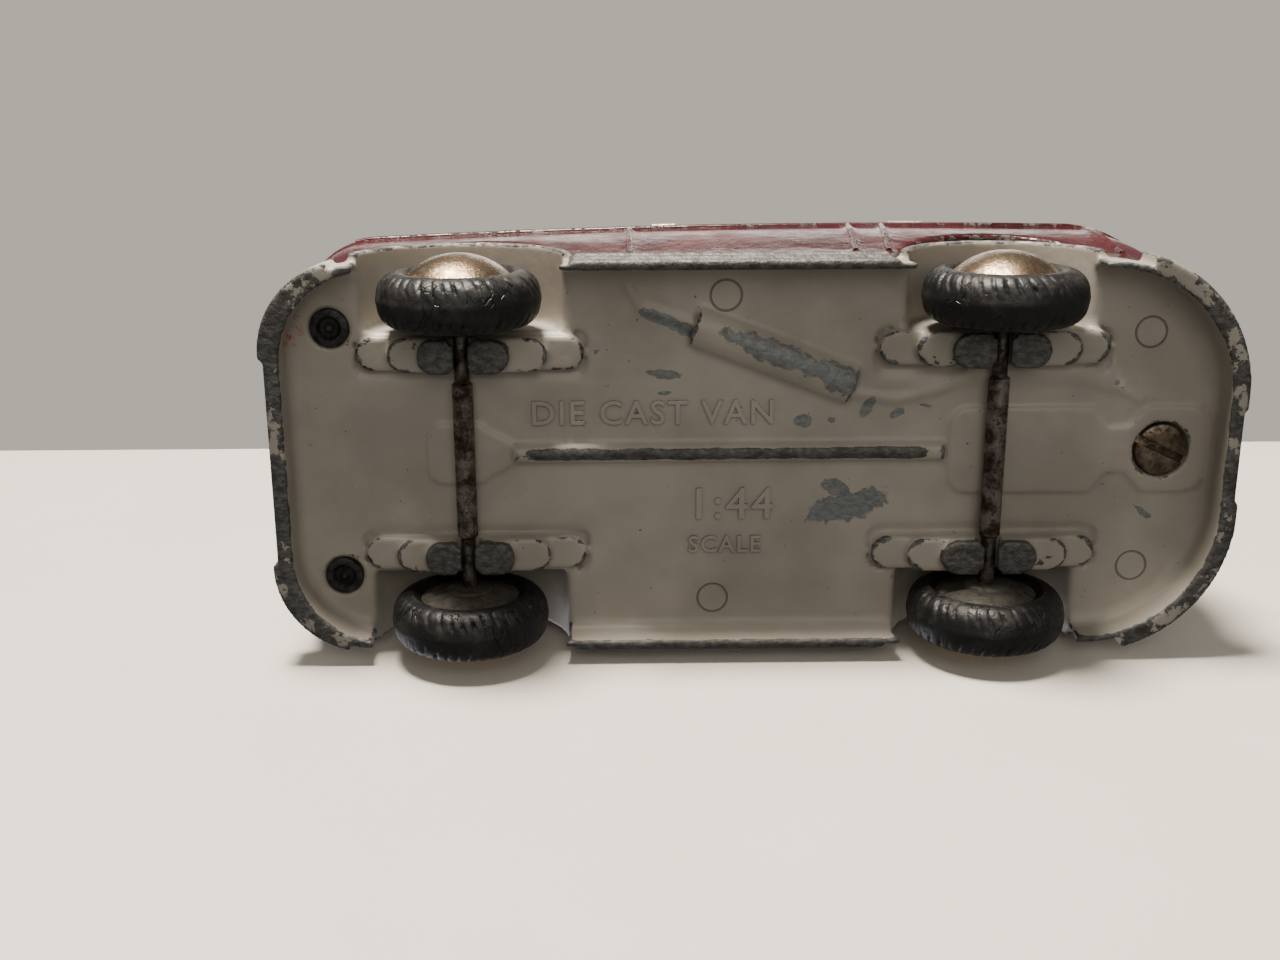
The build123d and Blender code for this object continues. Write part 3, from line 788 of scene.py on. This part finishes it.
def rubberMaterial():
    # old black rubber, hard and slightly shiny on the tread, dusty in patches, with fine dark cracks; the
    # cuts and corners are darkened near to black as painted shade
    material, tree, shader = newMaterial("agedRubber")
    point = objectPoint(tree)
    crevice = attribute(tree, "crevice")
    edge = attribute(tree, "edge")
    dust = ramp(tree, noiseAt(tree, point, 2.4, 6.0, 0.65), 0.44, 0.78)
    cracks = addNode(tree, "TexVoronoi", {"feature": "DISTANCE_TO_EDGE"},
                     Vector=addNode(tree, "Mapping", Vector=point, Scale=(1.0, 0.35, 1.0)).outputs[0],
                     Scale=1 / (0.9 * mm)).outputs["Distance"]
    patches = ramp(tree, noiseAt(tree, point, 3.0), 0.5, 0.6)
    crack = math2(tree, "MULTIPLY", ramp(tree, cracks, 0.05, 0.0), patches)
    dusty = math2(tree, "MULTIPLY", dust, 0.35)
    colour = mixColour(tree, dusty, srgb(tyreLook["rubber"]), srgb(tyreLook["dust"]))
    scuff = ramp(tree, ragged(tree, point, edge, 0.8, 0.30), 0.06, 0.14)
    colour = mixColour(tree, math2(tree, "MULTIPLY", scuff, 0.30), colour, srgb("#6b6c6c"))
    # real cracks, and painted shade in the tread cuts and corners, both darkened near to black
    cracksAndShade = math2(tree, "MAXIMUM", crack, ramp(tree, crevice, 0.05, 0.22))
    colour = mixColour(tree, cracksAndShade, colour, srgb("#0a0a0a"))
    tree.links.new(colour, shader.inputs["Base Color"])
    rough = mixValue(tree, dust, 0.42, 0.72)
    tree.links.new(mixValue(tree, scuff, rough, 0.36), shader.inputs["Roughness"])
    peel = linkBump(tree, shader, noiseAt(tree, point, 0.6, 5.0, 0.6), 0.07)
    linkBump(tree, shader, math2(tree, "SUBTRACT", 1.0, crack), 0.10, peel)
    return material


def wheelFacts(end, name):
    # the wheel's centre line, which way is outward, and its faces, all from the frame
    side = 1 if name == "left" else -1
    facts = {"side": side}
    for part in ("tyre", "hub", "hub_cap"):
        low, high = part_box(f"{end}_{part}_{name}")
        near, far = sorted((low[1] / mm * side, high[1] / mm * side))
        facts[part] = {"inner": near, "outer": far, "radius": (high[2] - low[2]) / 2 / mm}
        facts["x"] = (low[0] + high[0]) / 2 / mm
        facts["z"] = (low[2] + high[2]) / 2 / mm
    return facts


def spun(profile, facts, segments):
    # a full turn of an open or closed profile, given as distance from the axle and distance across the van
    bm = bmesh.new()
    side = facts["side"]
    chain = [bm.verts.new(Vector((facts["x"] + r, side * y, facts["z"])) * mm) for r, y in profile]
    for here, there in zip(chain, chain[1:]):
        bm.edges.new((here, there))
    bmesh.ops.spin(bm, geom=bm.verts[:] + bm.edges[:], axis=(0, 1, 0), angle=2 * math.pi, steps=segments,
                   cent=Vector((facts["x"], 0, facts["z"])) * mm, use_merge=True)
    return bm


def arc(centreR, centreY, radius, fromDegrees, toDegrees, steps):
    # part of a round, in the profile's own two directions
    return [(centreR + radius * math.cos(math.radians(fromDegrees + (toDegrees - fromDegrees) * i / steps)),
             centreY + radius * math.sin(math.radians(fromDegrees + (toDegrees - fromDegrees) * i / steps)))
            for i in range(steps + 1)]


def makeTyre(end, name, material):
    facts = wheelFacts(end, name)
    tyre = facts["tyre"]
    inner, outer, radius = tyre["inner"], tyre["outer"], tyre["radius"]
    hub = facts["hub"]["radius"]
    middle = (inner + outer) / 2
    half = (outer - inner) / 2
    shoulder = 2.1
    profile = [(hub - 0.25, inner + 0.75), (hub + 0.3, inner + 0.28), (radius - 2.2, inner + 0.02)]
    profile += arc(radius - shoulder - 0.12, inner + shoulder, shoulder, -90, -12, 8)
    profile += [(radius - 0.02 - 0.10 * abs(t) ** 2, middle + t * (half - shoulder)) for t in
                (-0.75, -0.5, -0.25, 0, 0.25, 0.5, 0.75)]
    profile += arc(radius - shoulder - 0.12, outer - shoulder, shoulder, 12, 90, 8)
    profile += [(radius - 2.3, outer - 0.04), (hub + 0.35, outer - 0.1), (hub - 0.1, outer - 0.7)]
    bm = spun(profile, facts, tyreLook["segments"])
    bmesh.ops.subdivide_edges(bm, edges=[e for e in bm.edges if max(abs(v.co.y) for v in e.verts) / mm > inner
                                         and (e.verts[0].co - e.verts[1].co).length > 0.3 * mm],
                              cuts=1, use_grid_fill=True)
    seed = 3.7 if end == "front" else 9.1
    for vertex in bm.verts:
        across = vertex.co.y / mm * facts["side"] - middle
        dx, dz = vertex.co.x / mm - facts["x"], vertex.co.z / mm - facts["z"]
        distance = math.hypot(dx, dz)
        angle = math.atan2(dz, dx)
        if distance < radius - 2.6:
            continue
        band = fade(abs(across), 0.25 * half, 0.6 * half) * fade(distance, radius - 2.6, radius - 1.6)
        wander = 0.35 * noise.noise(Vector((dx * 0.35, dz * 0.35, seed)))
        lean = 0.05 * abs(across)
        phase = (angle + lean) * tyreLook["grooves"] / (2 * math.pi) + (0.5 if across > 0 else 0) + wander
        cut = max(0.0, 1 - abs((phase % 1.0) - 0.5) / 0.17)
        uneven = 0.55 + 0.9 * noise.noise(Vector((dx * 0.8, across, dz * 0.8 + seed)))
        drop = tyreLook["grooveMm"] * band * min(1.0, cut * 1.6) * max(0.15, uneven)
        drop += 0.05 * noise.noise(Vector((dx * 0.5, across * 0.5, dz * 0.5)))
        scale = (distance - max(0.0, drop)) / distance
        vertex.co.x = (facts["x"] + dx * scale) * mm
        vertex.co.z = (facts["z"] + dz * scale) * mm
    bmesh.ops.holes_fill(bm, edges=[e for e in bm.edges if e.is_boundary], sides=0)
    mesh = meshFrom(bm, f"{end}Tyre.{name}")
    markEdges(mesh)
    shadeSmooth(mesh, 50)
    newPiece(f"{end}Tyre.{name}", mesh, material, f"{end}_wheelset", [f"{end}_tyre_{name}"])


def metalMaterial(name, pale, dark, rust, rustAmount, roughness, metallic=0.85, rustFrom=None, grainMm=0.5):
    # an old plated or bare metal: two tones in fine patches, rust from a thin scatter to whole areas, and
    # painted shade darkening its corners
    material, tree, shader = newMaterial(name)
    point = objectPoint(tree)
    crevice = attribute(tree, "crevice")
    patch = ramp(tree, noiseAt(tree, point, grainMm * 3, 6.0, 0.65), 0.35, 0.65)
    colour = mixColour(tree, patch, srgb(dark), srgb(pale))
    rusty = ramp(tree, noiseAt(tree, point, grainMm * 2, 7.0, 0.7, 0.3), 0.66 - rustAmount, 0.78 - rustAmount)
    if rustFrom:
        fromNode = attribute(tree, rustFrom)
        rusty = math2(tree, "MAXIMUM", rusty, ramp(tree, ragged(tree, point, fromNode, 0.8, 0.9), 0.45, 0.6))
    colour = mixColour(tree, rusty, colour, srgb(rust))
    pits = ramp(tree, noiseAt(tree, point, grainMm * 0.5, 3.0, 0.6), 0.62, 0.68)
    colour = mixColour(tree, math2(tree, "MULTIPLY", pits, 0.7), colour, srgb("#1b1613"))
    # painted shade: corners and recesses are darkened towards near black
    creviceShade = math2(tree, "MULTIPLY", ramp(tree, crevice, 0.03, 0.15), 0.8)
    colour = mixColour(tree, creviceShade, colour, srgb("#15110e"))
    tree.links.new(colour, shader.inputs["Base Color"])
    dead = math2(tree, "MAXIMUM", rusty, pits)
    tree.links.new(mixValue(tree, dead, metallic, 0.15), shader.inputs["Metallic"])
    tree.links.new(mixValue(tree, rusty, ramp(tree, patch, 0.0, 1.0, roughness + 0.1, roughness), 0.75),
                   shader.inputs["Roughness"])
    lumps = linkBump(tree, shader, noiseAt(tree, point, grainMm, 6.0, 0.65), 0.06)
    linkBump(tree, shader, math2(tree, "SUBTRACT", 1.0, pits), 0.05, lumps)
    return material


def makeCap(end, name, material):
    facts = wheelFacts(end, name)
    cap = facts["hub_cap"]
    inner, outer, radius = cap["inner"], cap["outer"], cap["radius"]
    rim = inner + 0.3
    rise = outer - rim
    ball = (radius ** 2 + rise ** 2) / (2 * rise)
    centre = outer - ball
    foot = math.degrees(math.atan2(rim - centre, radius))
    profile = [(0.0005, outer)] + arc(0, centre, ball, 89.2, foot, 26)
    profile += [(radius + 0.05, rim - 0.1), (radius, inner + 0.06), (radius - 0.12, inner),
                (radius - 1.4, inner)]
    bm = spun(profile, facts, 96)
    for vertex in bm.verts:
        dent = 0.05 * noise.noise(vertex.co / mm * 0.35)
        vertex.co.y -= facts["side"] * max(0.0, dent) * mm
    mesh = meshFrom(bm, f"{end}HubCap.{name}")
    markEdges(mesh)
    storeValue(mesh, "outward", lambda co: min(1.0, math.hypot(co.x / mm - facts["x"], co.z / mm - facts["z"])
                                               / radius) ** 6 * 0.62)
    shadeSmooth(mesh, 50)
    newPiece(mesh.name, mesh, material, f"{end}_wheelset", [f"{end}_hub_cap_{name}"])


def makeHub(end, name, material):
    facts = wheelFacts(end, name)
    hub = facts["hub"]
    inner, outer, radius = hub["inner"], hub["outer"], hub["radius"]
    profile = [(0.76, inner + 0.02), (1.05, inner), (2.1, inner), (2.28, inner + 0.1), (2.36, inner + 0.26)]
    ball = 14.8
    profile += arc(0, inner + 0.1 + ball, ball, -80.7, -70.3, 10)
    profile += [(radius, inner + 1.05), (radius - 0.9, inner + 1.1), (radius - 0.9, outer - 0.02),
                (0.76, outer - 0.02)]
    bm = spun([(min(r, radius), y) for r, y in profile], facts, 72)
    mesh = meshFrom(bm, f"{end}Hub.{name}")
    markEdges(mesh)
    shadeSmooth(mesh, 40)
    newPiece(f"{end}Hub.{name}", mesh, material, f"{end}_wheelset", [f"{end}_hub_{name}"])


def makeAxle(end, material):
    low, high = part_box(f"{end}_axle")
    x, z = (low[0] + high[0]) / 2 / mm, (low[2] + high[2]) / 2 / mm
    middle, half = (low[1] + high[1]) / 2 / mm, (high[1] - low[1]) / 2 / mm
    thick, thin, head = 1.05, 0.75, (high[2] - low[2]) / 2 / mm
    shoulder = 8.4 if end == "front" else 8.1
    facts = {"side": 1, "x": x, "z": z}
    steps = 60
    profile = [(0.0005, middle - half), (head - 0.4, middle - half), (head, middle - half + 0.35),
               (head, middle - half + 0.7),
               (thin, middle - half + 0.71), (thin, middle - shoulder)]
    profile += [(thick - 0.2, middle - shoulder + 0.02), (thick, middle - shoulder + 0.22)]
    profile += [(thick, middle - shoulder + 0.3 + (2 * shoulder - 0.6) * i / steps) for i in range(steps + 1)]
    profile += [(r, 2 * middle - y) for r, y in reversed(profile[:8])]
    bm = spun(profile, facts, 40)
    for vertex in bm.verts:
        dx, dz = vertex.co.x / mm - x, vertex.co.z / mm - z
        swell = 1 + 0.035 * noise.noise(vertex.co / mm * 0.7 + Vector((0, 0, 5 if end == "front" else 11)))
        vertex.co.x = (x + dx * min(1.0, swell)) * mm
        vertex.co.z = (z + dz * min(1.0, swell)) * mm
    mesh = meshFrom(bm, f"{end}Axle")
    markEdges(mesh)
    shadeSmooth(mesh, 40)
    newPiece(f"{end}Axle", mesh, material, f"{end}_wheelset", [f"{end}_axle"])


# fasteners

def disc(bm, x, y, levels, segments=64):
    # a closed stack of rings, each a radius and a level, from the lowest up
    ring = [bm.verts.new(Vector((x + radius, y, level)) * mm) for radius, level in levels]
    edges = [bm.edges.new(pair) for pair in zip(ring, ring[1:])]
    bmesh.ops.spin(bm, geom=ring + edges, axis=(0, 0, 1), angle=2 * math.pi, steps=segments,
                   cent=Vector((x, y, 0)) * mm, use_merge=True)


def makeScrew(material):
    low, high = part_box("base_screw")
    x, y = (low[0] + high[0]) / 2 / mm, (low[1] + high[1]) / 2 / mm
    radius, under = (high[0] - low[0]) / 2 / mm, low[2] / mm
    bm = bmesh.new()
    disc(bm, x, y, [(0.0005, under), (radius - 0.35, under), (radius - 0.08, under + 0.12),
                    (radius, under + 0.35), (radius, under + 1.05), (1.5, under + 1.06), (1.5, high[2] / mm),
                    (0.0005, high[2] / mm)])
    mesh = meshFrom(bm, "baseScrew")
    head = scratchObject(mesh)
    bm = bmesh.new()
    bmesh.ops.create_cube(bm, size=1)
    bmesh.ops.scale(bm, vec=Vector((2 * radius + 1, 0.85, 1.1)) * mm, verts=bm.verts)
    slot = Matrix.Translation(Vector((x, y, under + 0.1)) * mm) @ Matrix.Rotation(math.radians(25), 4, "Z")
    bmesh.ops.transform(bm, matrix=slot, verts=bm.verts)
    cutter = scratchObject(meshFrom(bm, "slotCutter"))
    cut = head.modifiers.new("slot", "BOOLEAN")
    cut.operation = "DIFFERENCE"
    cut.object = cutter
    applied(head)
    rounding = head.modifiers.new("round", "BEVEL")
    rounding.width = 0.06 * mm
    rounding.segments = 2
    rounding.limit_method = "ANGLE"
    mesh = applied(head)
    bpy.data.objects.remove(head)
    bpy.data.objects.remove(cutter)
    mesh.name = "baseScrew"
    markEdges(mesh)
    shadeSmooth(mesh, 35)
    newPiece("baseScrew", mesh, material, "body", ["base_screw"])


def makeRivet(name, material):
    low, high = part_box(f"rear_rivet_{name}")
    x, y = (low[0] + high[0]) / 2 / mm, (low[1] + high[1]) / 2 / mm
    radius, under = (high[0] - low[0]) / 2 / mm, low[2] / mm
    bm = bmesh.new()
    disc(bm, x, y, [(0.0005, under + 0.08), (0.25, under + 0.1), (0.42, under + 0.28), (0.55, under + 0.42),
                    (0.95, under + 0.42), (1.1, under + 0.2), (1.25, under + 0.02), (1.5, under),
                    (radius - 0.12, under + 0.12), (radius, under + 0.35), (radius, under + 0.6),
                    (1.2, under + 0.61), (1.2, high[2] / mm), (0.0005, high[2] / mm)], 48)
    mesh = meshFrom(bm, f"rearRivet.{name}")
    markEdges(mesh)
    shadeSmooth(mesh, 40)
    newPiece(f"rearRivet.{name}", mesh, material, "body", [f"rear_rivet_{name}"])


baseEnamel = baseMaterial()
makeBase(baseEnamel)
makeLettering(baseEnamel)
print("base casting made")

bodyEnamel = bodyMaterial()
skin = makeBody(bodyEnamel)
print("body made")

silver = metalMaterial("wornSilverPaint", "#b9b5ad", "#8f8b84", "#5a4a40", 0.0, 0.34, 0.7, None, 0.5)
makeTrim(skin, bodyEnamel, silver)
dressGlass()
print("trim and glazing made")

rubber = rubberMaterial()
nickel = metalMaterial("tarnishedNickel", "#c9b79c", "#8a6f55", "#5a3322", 0.03, 0.22, 1.0, "outward", 0.35)
zinc = metalMaterial("dullZinc", "#6d6a62", "#46443f", "#33302b", 0.08, 0.5, 0.35, None, 0.6)
rusted = metalMaterial("rustedSteel", "#8f8a84", "#3a2b24", "#3d2118", 0.14, 0.36, 0.8, None, 0.5)
brown = metalMaterial("brownedSteel", "#8d7f6f", "#4a3d32", "#3a2719", 0.07, 0.34, 0.9, None, 0.45)
black = metalMaterial("blackedSteel", "#4a4a4a", "#1e1e1f", "#241e1a", 0.02, 0.4, 0.6, None, 0.4)
for end in ("front", "rear"):
    makeAxle(end, rusted)
    for name in ("left", "right"):
        makeTyre(end, name, rubber)
        makeCap(end, name, nickel)
        makeHub(end, name, zinc)
makeScrew(brown)
makeRivet("left", black)
makeRivet("right", black)
print("wheels, axles and fasteners made")


addCamera()
addStage()
print("camera and stage set")
